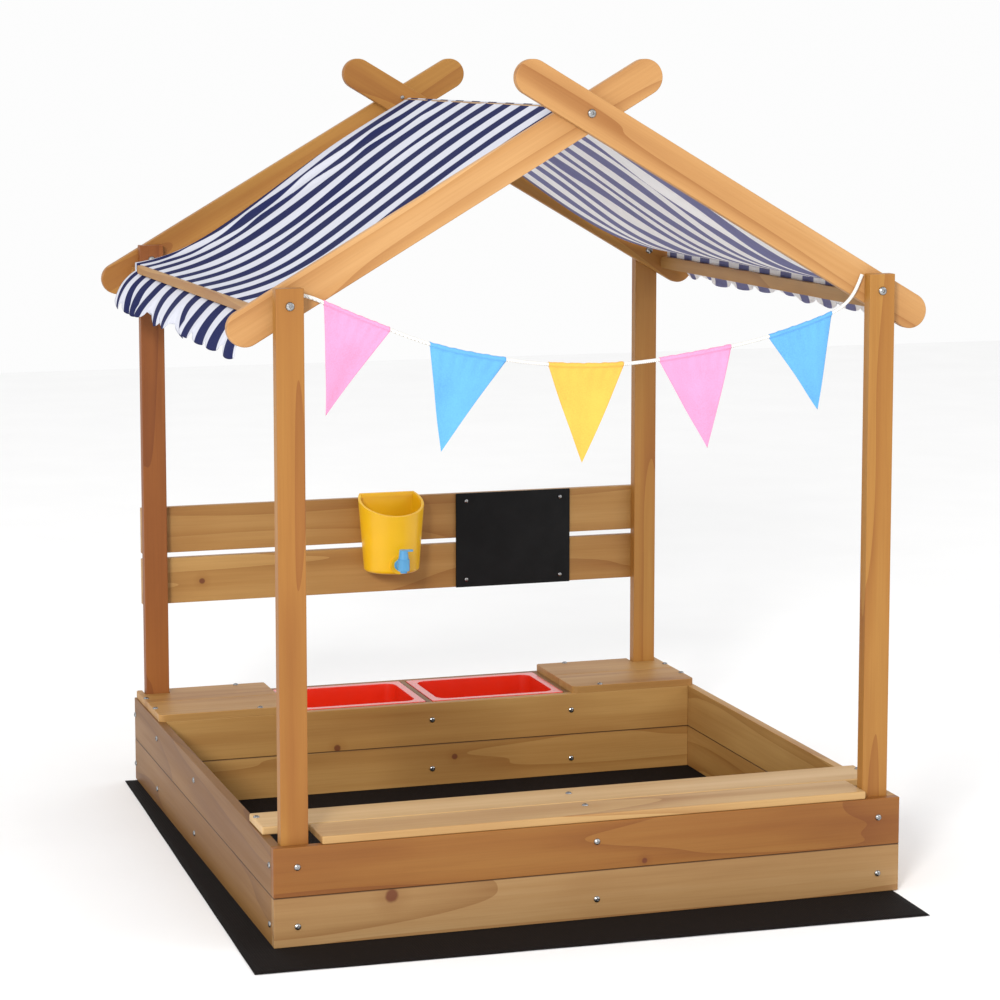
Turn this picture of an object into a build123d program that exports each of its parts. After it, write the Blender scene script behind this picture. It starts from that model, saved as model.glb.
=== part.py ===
from build123d import *
import math
import os

os.makedirs("parts", exist_ok=True)

# A child's wooden sandbox with a fabric roof. Millimetres, X to the right, Y to the
# back, Z up. The origin is on the ground below the middle of the box.

# ---- driving dimensions ----
# the woven sheet that the box stands on
SHEET_WIDER = 50.0
SHEET_LONGER = 119.0
SHEET_THICKNESS = 1.0
SHEET_TURN = -1.6
SHEET_SHIFT_X = -21.0
SHEET_SHIFT_Y = -90.0

# the box
BOX_WIDTH = 1200.0
BOX_DEPTH = 1286.0
BOARD_THICKNESS = 18.0
BOARD_HEIGHT = 89.5
BOARD_EASE = 1.5
TROUGH_DEPTH = 217.5
TROUGH_WIDTH = 602.0
DIVIDER_THICKNESS = 12.0
DIVIDER_SHIFT = -5.0
CLEAT_WIDTH = 45.0
CLEAT_THICKNESS = 18.0
CLEAT_DROP = 25.0
CLEAT_Y = 27.0
CLEAT_SCREW_SHORT = 4.0

# posts and the two rails behind the rear pair
POST_WIDTH = 50.0
POST_THICKNESS = 25.0
POST_HEIGHT = 1157.0
RAIL_HEIGHT = 98.5
RAIL_GAP = 12.0
RAIL_BOTTOM = 385.0

# seat at the front, corner plates at the back
PLANK_THICKNESS = 15.0
PLANK_EASE = 3.0
SEAT_FRONT_DEPTH = 92.0
SEAT_BACK_DEPTH = 103.0
SEAT_FRONT_INSET = 2.0
SEAT_GAP = 2.0
SEAT_END_GAP = 21.0
SEAT_OVERHANG = 3.0
SEAT_SCREW_BACK = 10.0
SEAT_END_SCREW_BACK = 20.0
SUPPORT_LENGTH = 168.0
PLATE_EDGE_INSET = 4.0
PLATE_REST = 5.0
PLATE_GAP = 1.0
PLATE_CORNER = 12.0
PLATE_SCREW_IN = 60.0
PLATE_SCREW_FRONT = 60.0
PLATE_SCREW_REAR = 40.0
NOTCH_GAP = 1.0

# plastic basins in the trough
BASIN_GAP_X = 1.5
BASIN_GAP_Y = 1.0
BASIN_RIM_WIDTH = 14.0
BASIN_RIM_THICKNESS = 3.0
BASIN_RIM_ABOVE = 1.0
BASIN_BODY_DEPTH = 85.0
BASIN_TAPER = 7.0
BASIN_WALL = 3.0
BASIN_CORNER = 27.0
BASIN_RIM_CORNER = 6.0
BASIN_FLOOR_ROUND = 9.0
LEDGE_HEIGHT = 20.0
LEDGE_THICKNESS = 12.0
LEDGE_GAP = 0.3

# writing board
PANEL_WIDTH = 265.0
PANEL_THICKNESS = 5.0
PANEL_LEFT = 120.0
PANEL_BOTTOM_DROP = 0.5
PANEL_TOP_RISE = 0.5
PANEL_SCREW_INSET_X = 23.0
PANEL_SCREW_INSET_Z = 17.0

# water bucket that hooks over the upper rail
BUCKET_X = -39.0
BUCKET_TOP_RADIUS = 73.0
BUCKET_BOTTOM_RADIUS = 60.0
BUCKET_HEIGHT = 156.0
BUCKET_BACK = 39.0
BUCKET_BACK_RISE = 12.0
BUCKET_FRONT_DROP = 29.0
BUCKET_WALL = 3.0
BUCKET_FLOOR_ROUND = 8.0
BUCKET_RIM_HEIGHT = 8.0
BUCKET_RIM_THICKNESS = 6.0
BUCKET_RIM_ROUND = 1.2
BUCKET_GAP = 0.5
HOOK_WIDTH = 60.0
HOOK_THICKNESS = 3.0
HOOK_DROP = 34.0
BOSS_RADIUS = 20.0
BOSS_RING = 4.0
BOSS_RECESS = 1.5
BOSS_OUT = 4.0
BOSS_HEIGHT = 460.0

# tap
TAP_THREAD_RADIUS = 8.0
TAP_FLANGE_RADIUS = 12.0
TAP_FLANGE_THICKNESS = 4.0
TAP_BARREL_RADIUS = 9.0
TAP_REACH = 31.0
TAP_BODY_RADIUS = 13.0
TAP_BODY_HEIGHT = 25.0
TAP_BODY_ABOVE_BOSS = 18.0
TAP_SPOUT_RADIUS = 7.5
TAP_SPOUT_LENGTH = 5.0
TAP_WATERWAY_RADIUS = 4.5
TAP_STEM_RADIUS = 6.0
TAP_STEM_DEPTH = 10.0
TAP_TURN_CLEARANCE = 0.3
TAP_NECK_RADIUS = 11.0
TAP_NECK_TOP_RADIUS = 9.0
TAP_NECK_HEIGHT = 17.0
TAP_LEVER_LENGTH = 21.0
TAP_LEVER_WIDTH = 12.0
TAP_LEVER_THICKNESS = 3.0
TAP_NUT_RADIUS = 14.0
TAP_NUT_THICKNESS = 8.0
TAP_WASHER_RADIUS = 15.0
TAP_WASHER_THICKNESS = 2.0
TAP_WASHER_STAND = 2.5
TAP_THREAD_SPARE = 3.0
THREAD_CLEARANCE = 0.1

# roof frame
RAFTER_WIDTH = 65.0
RAFTER_THICKNESS = 18.0
RAFTER_EASE = 2.0
ROOF_RISE = 326.0
POST_BOLT_DROP = 31.0
RAFTER_PAST_RIDGE = 158.0
RAFTER_PAST_POST = 112.0
SPACER_RADIUS = 10.0
RIDGE_POLE_RADIUS = 11.0
EAVE_BEAM_HEIGHT = 26.0
EAVE_BEAM_THICKNESS = 12.0
EAVE_BEAM_GAP = 2.0
EAVE_BEAM_LOW = 20.7
EAVE_SLAT_HEIGHT = 17.0
EAVE_SLAT_THICKNESS = 8.6
EAVE_SLAT_LOW = 0.7
EAVE_SLAT_SHORT = 80.0
EAVE_SLAT_START = 2.0
DOWEL_RADIUS = 4.0
DOWEL_DEPTH = 14.0
BRAD_RADIUS = 1.0
BRAD_LENGTH = 14.0
BRAD_COUNT = 5
BRAD_END = 60.0

# fabric roof
CANVAS_THICKNESS = 2.0
CANVAS_GAP = 0.2
CANVAS_FRONT_GAP = 4.0
CANVAS_REAR_GAP = 8.0
VALANCE_OUT = 56.0
VALANCE_DROP = 72.0
VALANCE_BEND = 0.45

TIE_SHIFT = 11.0
TIE_RISE = 13.0

# bunting
CORD_DIAMETER = 6.5
PENNANT_THICKNESS = 1.2

# fasteners: round heads that stand on the wood, each with a socket for its key
SOCKET_SHARE = 0.38
SOCKET_DEPTH_SHARE = 0.6
SCREW_HEAD_RADIUS = 6.0
SCREW_HEAD_HEIGHT = 3.0
SCREW_RADIUS = 2.0
SCREW_LENGTH = 38.0
WALL_SCREW_HEIGHT = 36.0
PANEL_SCREW_HEAD_RADIUS = 4.5
PANEL_SCREW_HEAD_HEIGHT = 2.5
PANEL_SCREW_LENGTH = 18.0
BOLT_RADIUS = 3.0
BOLT_HEAD_RADIUS = 8.0
BOLT_HEAD_HEIGHT = 4.5
BOLT_END = 10.0
BOLT_INTO_POLE = 50.0
NUT_RADIUS = 6.5
NUT_THICKNESS = 5.0
WASHER_RADIUS = 8.0
WASHER_THICKNESS = 1.5
HOLE_CLEARANCE = 0.1

# The cord's route, from the bush behind the left front post to the right front post's back corner.
CORD_ROUTE = [
    (-556, -591.0, 1140.6),
    (-540, -591.0, 1144.5),
    (-518, -591.0, 1142.0),
    (-489, -591.4, 1130.0),
    (-437, -592.0, 1106.5),
    (-385, -592.7, 1085.5),
    (-333, -593.3, 1064.0),
    (-281, -594.0, 1046.0),
    (-226, -594.6, 1032.5),
    (-170, -595.3, 1022.0),
    (-114, -596.0, 1013.5),
    (-57, -596.8, 1007.5),
    (0, -597.5, 1004.8),
    (57, -598.2, 1005.3),
    (114, -598.9, 1009.5),
    (170, -599.6, 1016.0),
    (226, -600.3, 1024.5),
    (281, -601.0, 1033.5),
    (336, -601.7, 1045.2),
    (390, -602.3, 1060.5),
    (442, -603.0, 1077.0),
    (478, -603.4, 1092.0),
    (502, -603.6, 1111.0),
    (517, -603.6, 1135.0),
    (525, -603.6, 1156.5),
]
# each flag: name, left and right corner on the cord, and the tip (X, then X and Z)
PENNANTS = [
    ("pennant_pink_left", -489, -371, (-487, 932)),
    ("pennant_blue", -298, -159, (-279, 861)),
    ("pennant_yellow", -79, 62, (-15, 830)),
    ("pennant_pink_right", 131, 268, (224, 848)),
    ("pennant_light_blue", 343, 465, (440, 910)),
]

# ---- places that follow from the dimensions ----
SHEET_WIDTH = BOX_WIDTH + SHEET_WIDER
SHEET_LENGTH = BOX_DEPTH + SHEET_LONGER
HALF_WIDTH = BOX_WIDTH / 2
HALF_DEPTH = BOX_DEPTH / 2
FLOOR = SHEET_THICKNESS
WALL_TOP = FLOOR + 2 * BOARD_HEIGHT
INNER_X = HALF_WIDTH - BOARD_THICKNESS
FRONT_INNER = -HALF_DEPTH + BOARD_THICKNESS
REAR_INNER = HALF_DEPTH - BOARD_THICKNESS
DIVIDING_BACK = REAR_INNER - TROUGH_DEPTH
DIVIDING_FRONT = DIVIDING_BACK - BOARD_THICKNESS
POST_X = INNER_X - POST_WIDTH / 2
FRONT_POST_Y = (FRONT_INNER, FRONT_INNER + POST_THICKNESS)
REAR_POST_Y = (REAR_INNER - POST_THICKNESS, REAR_INNER)
POST_TOP = FLOOR + POST_HEIGHT
CROSS_IN = TROUGH_WIDTH / 2
CROSS_OUT = CROSS_IN + BOARD_THICKNESS
RAIL_SPLIT = RAIL_BOTTOM + RAIL_HEIGHT
RAIL_TOP = RAIL_SPLIT + RAIL_GAP + RAIL_HEIGHT
POST_BOLT_Z = POST_TOP - POST_BOLT_DROP
RIDGE_BOLT_Z = POST_BOLT_Z + ROOF_RISE
RAFTER_SLOPE = math.degrees(math.atan2(ROOF_RISE, POST_X))
RAFTER_RUN = math.hypot(ROOF_RISE, POST_X)
# the rafters' near and far faces, front pair then rear pair
RAFTER_FRONT_RIGHT_Y = (FRONT_POST_Y[1], FRONT_POST_Y[1] + RAFTER_THICKNESS)
RAFTER_FRONT_LEFT_Y = (RAFTER_FRONT_RIGHT_Y[1], RAFTER_FRONT_RIGHT_Y[1] + RAFTER_THICKNESS)
RAFTER_REAR_RIGHT_Y = (REAR_POST_Y[0] - RAFTER_THICKNESS, REAR_POST_Y[0])
RAFTER_REAR_LEFT_Y = (REAR_POST_Y[1], REAR_POST_Y[1] + RAFTER_THICKNESS)
EAVE_BEAM_IN = INNER_X + EAVE_BEAM_GAP
EAVE_BEAM_OUT = EAVE_BEAM_IN + EAVE_BEAM_THICKNESS
# how high the rafters' middle line is where it crosses the eave beams
EAVE_LINE = RIDGE_BOLT_Z - (EAVE_BEAM_IN + EAVE_BEAM_OUT) / 2 * ROOF_RISE / POST_X
EAVE_BEAM_BOTTOM = EAVE_LINE - EAVE_BEAM_LOW
EAVE_SLAT_BOTTOM = EAVE_LINE - EAVE_SLAT_LOW
EAVE_BEAM_TOP = EAVE_BEAM_BOTTOM + EAVE_BEAM_HEIGHT
CANVAS_IN = EAVE_BEAM_OUT + CANVAS_GAP
CANVAS_OUT = CANVAS_IN + CANVAS_THICKNESS
SLAT_IN = CANVAS_OUT + CANVAS_GAP
SLAT_OUT = SLAT_IN + EAVE_SLAT_THICKNESS
SLAT_TOP = EAVE_SLAT_BOTTOM + EAVE_SLAT_HEIGHT

# ---- how pieces are made and collected ----
pieces = {}
holes = []
wood_screws = []
panel_screws = []
roof_bolts = []
roof_nuts = []
eave_pins = []


def block(x, y, z, ease=0.0):
    """A board that fills three (low, high) spans, with its edges rounded over."""
    size = [high - low for low, high in (x, y, z)]
    middle = [(low + high) / 2 for low, high in (x, y, z)]
    solid = Pos(*middle) * Box(*size)
    if ease:
        solid = fillet(solid.edges(), ease)
    return solid


def turned(points, origin, direction):
    """A turned solid: (radius, height) points about an axis from the origin."""
    outline = Polyline(*[(radius, 0, height) for radius, height in points], close=True)
    profile = make_face(outline)
    return Plane(origin=origin, z_dir=direction) * revolve(profile, axis=Axis.Z)


def rod(radius, start, direction, length):
    """A plain round bar that starts at a point."""
    bar = Cylinder(radius, length, align=(Align.CENTER, Align.CENTER, Align.MIN))
    return Plane(origin=start, z_dir=direction) * bar


def round_headed(head_radius, head_height, shank_radius, length, at, inward):
    """A fastener with a domed head on the face at a point; its tip narrows to nothing."""
    socket = head_radius * SOCKET_SHARE
    socket_top = -head_height * (1 - SOCKET_DEPTH_SHARE)
    outline = [
        (0, socket_top), (socket, socket_top), (socket, -head_height),
        (head_radius * 0.6, -head_height * 0.92), (head_radius * 0.86, -head_height * 0.6),
        (head_radius, -head_height * 0.12), (head_radius, 0),
        (shank_radius, 0), (shank_radius, length - shank_radius), (0, length),
    ]
    return turned(outline, at, inward)


def screw(at, out, length=SCREW_LENGTH):
    """A wood screw at a point on a face, and the way the face looks."""
    inward = tuple(-value for value in out)
    wood_screws.append(round_headed(SCREW_HEAD_RADIUS, SCREW_HEAD_HEIGHT, SCREW_RADIUS, length, at, inward))
    holes.append(rod(SCREW_RADIUS + HOLE_CLEARANCE, at, inward, length + HOLE_CLEARANCE))


def panel_screw(at):
    """A small screw driven towards the back."""
    back = (0, 1, 0)
    head = (PANEL_SCREW_HEAD_RADIUS, PANEL_SCREW_HEAD_HEIGHT)
    panel_screws.append(round_headed(*head, SCREW_RADIUS, PANEL_SCREW_LENGTH, at, back))
    holes.append(rod(SCREW_RADIUS + HOLE_CLEARANCE, at, back, PANEL_SCREW_LENGTH + HOLE_CLEARANCE))


def bolt_shape(at, inward, length):
    """A bolt whose domed head is on the wood's face."""
    roof_bolts.append(round_headed(BOLT_HEAD_RADIUS, BOLT_HEAD_HEIGHT, BOLT_RADIUS, length, at, inward))


def through_bolt(x, z, faces):
    """A bolt from one face to another, with a washer and a nut on the far side."""
    head_y, far_y = faces
    way = (0, 1, 0)
    grip = far_y - head_y
    bolt_shape((x, head_y, z), way, grip + BOLT_END)
    holes.append(rod(BOLT_RADIUS + HOLE_CLEARANCE, (x, head_y, z), way, grip))
    bore = rod(BOLT_RADIUS + HOLE_CLEARANCE, (x, far_y, z), way, BOLT_END)
    washer = rod(WASHER_RADIUS, (x, far_y, z), way, WASHER_THICKNESS) - bore
    seat = Plane(origin=(x, far_y + WASHER_THICKNESS, z), x_dir=(1, 0, 0), z_dir=way)
    nut = extrude(seat * RegularPolygon(NUT_RADIUS, 6), NUT_THICKNESS) - bore
    roof_nuts.extend([washer, nut])


def pole_bolt(head_y, way_y, grip):
    """A ridge bolt that passes the rafters and ends inside the pole."""
    at = (0, head_y, RIDGE_BOLT_Z)
    way = (0, way_y, 0)
    length = grip + BOLT_INTO_POLE
    bolt_shape(at, way, length)
    holes.append(rod(BOLT_RADIUS + HOLE_CLEARANCE, at, way, length + HOLE_CLEARANCE))


def corners(solid):
    """The low and the high corner of the box round a solid."""
    box = solid.bounding_box()
    return tuple(box.min), tuple(box.max)


def apart(one, two):
    """True when two boxes, each given by its corners, don't meet."""
    return any(one[0][axis] >= two[1][axis] or one[1][axis] <= two[0][axis] for axis in range(3))


def drilled(solid, hole_boxes):
    """The solid with room for every fastener that reaches it."""
    box = corners(solid)
    for hole, hole_box in zip(holes, hole_boxes):
        if not apart(box, hole_box):
            solid = solid - hole
    return solid


# ---- ground sheet ----
def ground_sheet():
    slab = Box(SHEET_WIDTH, SHEET_LENGTH, SHEET_THICKNESS, align=(Align.CENTER, Align.CENTER, Align.MIN))
    return Pos(SHEET_SHIFT_X, SHEET_SHIFT_Y, 0) * Rot(0, 0, SHEET_TURN) * slab


# ---- box walls: each wall is two boards, one on the other ----
def wall_boards(name, x, y):
    middle = FLOOR + BOARD_HEIGHT
    pieces[name + "_lower"] = block(x, y, (FLOOR, middle), BOARD_EASE)
    pieces[name + "_upper"] = block(x, y, (middle, WALL_TOP), BOARD_EASE)


def box_walls():
    full = (-HALF_WIDTH, HALF_WIDTH)
    inside = (-INNER_X, INNER_X)
    wall_boards("front_board", full, (-HALF_DEPTH, FRONT_INNER))
    wall_boards("left_board", (-HALF_WIDTH, -INNER_X), (FRONT_INNER, HALF_DEPTH))
    wall_boards("right_board", (INNER_X, HALF_WIDTH), (FRONT_INNER, HALF_DEPTH))
    wall_boards("rear_board", inside, (REAR_INNER, HALF_DEPTH))
    wall_boards("dividing_board", inside, (DIVIDING_FRONT, DIVIDING_BACK))
    cleat_x = (-INNER_X, -INNER_X + CLEAT_THICKNESS)
    cleat_y = (CLEAT_Y - CLEAT_WIDTH / 2, CLEAT_Y + CLEAT_WIDTH / 2)
    pieces["left_cleat"] = block(cleat_x, cleat_y, (FLOOR, WALL_TOP - CLEAT_DROP), BOARD_EASE)


def wall_screws():
    """Two heights of screws, into the posts, the seat's support, the trough and the cleat."""
    cleat_length = BOARD_THICKNESS + CLEAT_THICKNESS - CLEAT_SCREW_SHORT
    for z in (FLOOR + WALL_SCREW_HEIGHT, WALL_TOP - WALL_SCREW_HEIGHT):
        for x in (-POST_X, 0, POST_X):
            screw((x, -HALF_DEPTH, z), (0, -1, 0))
        for x in (-CROSS_IN - BOARD_THICKNESS / 2, DIVIDER_SHIFT, CROSS_IN + BOARD_THICKNESS / 2):
            screw((x, DIVIDING_FRONT, z), (0, -1, 0))
            screw((x, HALF_DEPTH, z), (0, 1, 0))
        ends = [sum(FRONT_POST_Y) / 2, (DIVIDING_FRONT + DIVIDING_BACK) / 2, (REAR_INNER + HALF_DEPTH) / 2]
        for y in ends:
            screw((-HALF_WIDTH, y, z), (-1, 0, 0))
            screw((HALF_WIDTH, y, z), (1, 0, 0))
        screw((-HALF_WIDTH, CLEAT_Y, z), (-1, 0, 0), cleat_length)


# ---- posts and rails ----
def posts():
    for side, sign in (("left", -1), ("right", 1)):
        x = (sign * POST_X - POST_WIDTH / 2, sign * POST_X + POST_WIDTH / 2)
        pieces["front_post_" + side] = block(x, FRONT_POST_Y, (FLOOR, POST_TOP), BOARD_EASE)
        pieces["rear_post_" + side] = block(x, REAR_POST_Y, (FLOOR, POST_TOP), BOARD_EASE)


def rails():
    x = (-INNER_X, INNER_X)
    y = (REAR_INNER, HALF_DEPTH)
    pieces["rail_lower"] = block(x, y, (RAIL_BOTTOM, RAIL_SPLIT), BOARD_EASE)
    pieces["rail_upper"] = block(x, y, (RAIL_SPLIT + RAIL_GAP, RAIL_TOP), BOARD_EASE)
    for low in (RAIL_BOTTOM, RAIL_SPLIT + RAIL_GAP):
        for z in (low + RAIL_HEIGHT / 4, low + RAIL_HEIGHT * 3 / 4):
            for x_screw in (-POST_X, POST_X):
                screw((x_screw, HALF_DEPTH, z), (0, 1, 0))


# ---- seat and corner plates ----
def seat():
    z = (WALL_TOP, WALL_TOP + PLANK_THICKNESS)
    post_inside = POST_X - POST_WIDTH / 2
    front = -HALF_DEPTH + SEAT_FRONT_INSET
    split = front + SEAT_FRONT_DEPTH
    back = (split + SEAT_GAP, split + SEAT_GAP + SEAT_BACK_DEPTH)
    reach = HALF_WIDTH - SEAT_OVERHANG
    front_x = (-post_inside + SEAT_END_GAP, post_inside)
    pieces["seat_plank_front"] = block(front_x, (front, split), z, PLANK_EASE)
    pieces["seat_plank_back"] = block((-reach, reach), back, z, PLANK_EASE)
    support_x = (-BOARD_THICKNESS / 2, BOARD_THICKNESS / 2)
    support_y = (FRONT_INNER, FRONT_INNER + SUPPORT_LENGTH)
    pieces["seat_support"] = block(support_x, support_y, (FLOOR, WALL_TOP), BOARD_EASE)
    top = z[1]
    screw((0, (FRONT_INNER + split) / 2 + SEAT_SCREW_BACK, top), (0, 0, 1))
    screw((0, sum(back) / 2 + SEAT_SCREW_BACK, top), (0, 0, 1))
    side_x = (INNER_X + HALF_WIDTH) / 2
    for x in (-side_x, side_x):
        screw((x, sum(back) / 2 + SEAT_END_SCREW_BACK, top), (0, 0, 1))


def corner_plate(side, sign):
    """Two planks over a rear corner; the rear one is notched round its post."""
    z = (WALL_TOP, WALL_TOP + PLANK_THICKNESS)
    span = sorted((sign * (CROSS_OUT - PLATE_REST), sign * (HALF_WIDTH - PLATE_EDGE_INSET)))
    middle = (DIVIDING_FRONT + HALF_DEPTH) / 2
    front = block(span, (DIVIDING_FRONT, middle - PLATE_GAP / 2), z)
    rear = block(span, (middle + PLATE_GAP / 2, HALF_DEPTH), z)
    front = fillet(front.edges().filter_by(Axis.Z).group_by(Axis.Y)[0], PLATE_CORNER)
    rear = fillet(rear.edges().filter_by(Axis.Z).group_by(Axis.Y)[-1], PLATE_CORNER / 2)
    post_x = (sign * POST_X - POST_WIDTH / 2 - NOTCH_GAP, sign * POST_X + POST_WIDTH / 2 + NOTCH_GAP)
    rear = rear - block(post_x, (REAR_POST_Y[0] - NOTCH_GAP, HALF_DEPTH + 1), (z[0] - 1, z[1] + 1))
    pieces["corner_plate_" + side + "_front"] = fillet(front.faces().sort_by(Axis.Z)[-1].edges(), BOARD_EASE)
    pieces["corner_plate_" + side + "_rear"] = fillet(rear.faces().sort_by(Axis.Z)[-1].edges(), BOARD_EASE)
    side_x = sign * (INNER_X + HALF_WIDTH) / 2
    top = z[1]
    for y in (middle - PLATE_SCREW_FRONT, middle + PLATE_SCREW_REAR):
        screw((side_x, y, top), (0, 0, 1))
    wall_x = sign * (CROSS_OUT + PLATE_SCREW_IN)
    screw((wall_x, (DIVIDING_FRONT + DIVIDING_BACK) / 2, top), (0, 0, 1))
    screw((wall_x, (REAR_INNER + HALF_DEPTH) / 2, top), (0, 0, 1))


# ---- trough with its basins ----
def trough():
    y = (DIVIDING_BACK, REAR_INNER)
    z = (FLOOR, WALL_TOP)
    pieces["trough_cross_left"] = block((-CROSS_OUT, -CROSS_IN), y, z, BOARD_EASE)
    pieces["trough_cross_right"] = block((CROSS_IN, CROSS_OUT), y, z, BOARD_EASE)
    divider = (DIVIDER_SHIFT - DIVIDER_THICKNESS / 2, DIVIDER_SHIFT + DIVIDER_THICKNESS / 2)
    pieces["trough_divider"] = block(divider, y, z, BOARD_EASE)
    bays = {"left": (-CROSS_IN, divider[0]), "right": (divider[1], CROSS_IN)}
    rim_top = WALL_TOP + BASIN_RIM_ABOVE
    ledge_top = rim_top - BASIN_RIM_THICKNESS - LEDGE_GAP
    ledges = []
    for side, bay in bays.items():
        for near in ((y[0], y[0] + LEDGE_THICKNESS), (y[1] - LEDGE_THICKNESS, y[1])):
            ledges.append(block(bay, near, (ledge_top - LEDGE_HEIGHT, ledge_top)))
        pieces["basin_" + side] = basin(bay, y, rim_top)
    pieces["basin_ledges"] = ledges


def tub(width, depth, height, corner, taper):
    """A solid with round corners that narrows downwards from z = 0."""
    bottom = (width - 2 * taper, depth - 2 * taper)
    upper = RectangleRounded(width, depth, corner)
    lower = Pos(0, 0, -height) * RectangleRounded(*bottom, corner - taper / 2)
    return loft([lower, upper])


def basin(bay, y, rim_top):
    width = bay[1] - bay[0] - 2 * BASIN_GAP_X
    depth = y[1] - y[0] - 2 * BASIN_GAP_Y
    mouth = (width - 2 * BASIN_RIM_WIDTH, depth - 2 * BASIN_RIM_WIDTH)
    outer = tub(*mouth, BASIN_BODY_DEPTH, BASIN_CORNER, BASIN_TAPER)
    outer = fillet(outer.faces().sort_by(Axis.Z)[0].edges(), BASIN_FLOOR_ROUND)
    hollow = tub(
        mouth[0] - 2 * BASIN_WALL, mouth[1] - 2 * BASIN_WALL,
        BASIN_BODY_DEPTH - BASIN_WALL, BASIN_CORNER - BASIN_WALL, BASIN_TAPER,
    )
    hollow = fillet(hollow.faces().sort_by(Axis.Z)[0].edges(), BASIN_FLOOR_ROUND - BASIN_WALL)
    rim_place = Pos(0, 0, -BASIN_RIM_THICKNESS)
    rim = extrude(rim_place * RectangleRounded(width, depth, BASIN_RIM_CORNER), BASIN_RIM_THICKNESS)
    shell = (outer + rim) - hollow
    top_edges = shell.faces().sort_by(Axis.Z)[-1].edges()
    shell = fillet(top_edges, BASIN_RIM_THICKNESS * 0.4)
    return Pos(sum(bay) / 2, sum(y) / 2, rim_top) * shell


# ---- writing board ----
def writing_board():
    x = (PANEL_LEFT, PANEL_LEFT + PANEL_WIDTH)
    z = (RAIL_BOTTOM - PANEL_BOTTOM_DROP, RAIL_TOP + PANEL_TOP_RISE)
    front = REAR_INNER - PANEL_THICKNESS
    pieces["writing_board"] = block(x, (front, REAR_INNER), z)
    for screw_x in (x[0] + PANEL_SCREW_INSET_X, x[1] - PANEL_SCREW_INSET_X):
        for screw_z in (z[0] + PANEL_SCREW_INSET_Z, z[1] - PANEL_SCREW_INSET_Z):
            panel_screw((screw_x, front, screw_z))


# ---- bucket and tap ----
BUCKET_BACK_TOP = RAIL_TOP + BUCKET_BACK_RISE
BUCKET_BOTTOM = BUCKET_BACK_TOP - BUCKET_HEIGHT - BUCKET_BACK_RISE
BUCKET_Y = REAR_INNER - BUCKET_GAP - BUCKET_BACK
BUCKET_SLOPE = math.atan2(BUCKET_BACK_RISE + BUCKET_FRONT_DROP, BUCKET_TOP_RADIUS + BUCKET_BACK)
RIM_TOLERANCE = 0.5
BUCKET_WIDEN = (BUCKET_TOP_RADIUS - BUCKET_BOTTOM_RADIUS) / (BUCKET_BACK_TOP - BUCKET_BOTTOM)
BOSS_WALL_RADIUS = BUCKET_BOTTOM_RADIUS + BUCKET_WIDEN * (BOSS_HEIGHT - BUCKET_BOTTOM)
BOSS_FACE = BUCKET_Y - BOSS_WALL_RADIUS - BOSS_OUT
BOSS_SEAT = BOSS_FACE + BOSS_RECESS
TAP_Y = BOSS_FACE - TAP_REACH


def bucket_body(shrink, low, high):
    """A cone between two heights with a flat back, drawn in by a wall's thickness."""
    low_radius = BUCKET_BOTTOM_RADIUS + BUCKET_WIDEN * (low - BUCKET_BOTTOM) - shrink
    high_radius = BUCKET_BOTTOM_RADIUS + BUCKET_WIDEN * (high - BUCKET_BOTTOM) - shrink
    cone = Cone(low_radius, high_radius, high - low, align=(Align.CENTER, Align.CENTER, Align.MIN))
    reach = 2 * BUCKET_TOP_RADIUS
    beyond = block((-reach, reach), (BUCKET_BACK - shrink, reach), (-1, high - low + 1))
    return Pos(BUCKET_X, BUCKET_Y, low) * (cone - beyond)


def slanted_top(lift):
    """Everything above the bucket's sloping rim plane, raised by the lift."""
    reach = 4 * BUCKET_TOP_RADIUS
    slab = Box(reach, reach, reach, align=(Align.CENTER, Align.CENTER, Align.MIN))
    back_y = BUCKET_Y + BUCKET_BACK
    return Pos(BUCKET_X, back_y, BUCKET_BACK_TOP + lift) * Rot(math.degrees(BUCKET_SLOPE), 0, 0) * slab


def on_rim(place):
    """True for a point that lies on the bucket's sloping rim plane."""
    behind = BUCKET_Y + BUCKET_BACK - place.Y
    return abs(place.Z - (BUCKET_BACK_TOP - behind * math.tan(BUCKET_SLOPE))) < RIM_TOLERANCE


def bucket():
    over = BUCKET_BACK_TOP + 2 * BUCKET_RIM_THICKNESS
    body = bucket_body(0, BUCKET_BOTTOM, over)
    body = fillet(body.faces().sort_by(Axis.Z)[0].edges(), BUCKET_FLOOR_ROUND)
    hollow = bucket_body(BUCKET_WALL, BUCKET_BOTTOM + BUCKET_WALL, over + 1) - slanted_top(-BUCKET_RIM_HEIGHT)
    mouth = bucket_body(BUCKET_RIM_THICKNESS, BUCKET_BOTTOM + BUCKET_WALL, over + 1)
    shell = body - slanted_top(0) - hollow - mouth
    lip = shell.edges().filter_by(lambda edge: on_rim(edge.center()))
    shell = fillet(lip, BUCKET_RIM_ROUND)
    boss = rod(BOSS_RADIUS, (BUCKET_X, BOSS_FACE, BOSS_HEIGHT), (0, 1, 0), BOSS_WALL_RADIUS / 2)
    boss = boss - bucket_body(BUCKET_WALL, BUCKET_BOTTOM + BUCKET_WALL, over)
    recess = BOSS_RADIUS - BOSS_RING
    before = (BUCKET_X, BOSS_FACE - 1, BOSS_HEIGHT)
    sunk = rod(recess, before, (0, 1, 0), 1 + BOSS_RECESS)
    bore = rod(TAP_THREAD_RADIUS + THREAD_CLEARANCE, before, (0, 1, 0), BOSS_WALL_RADIUS)
    return shell + boss - sunk - bore + hook()


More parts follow.
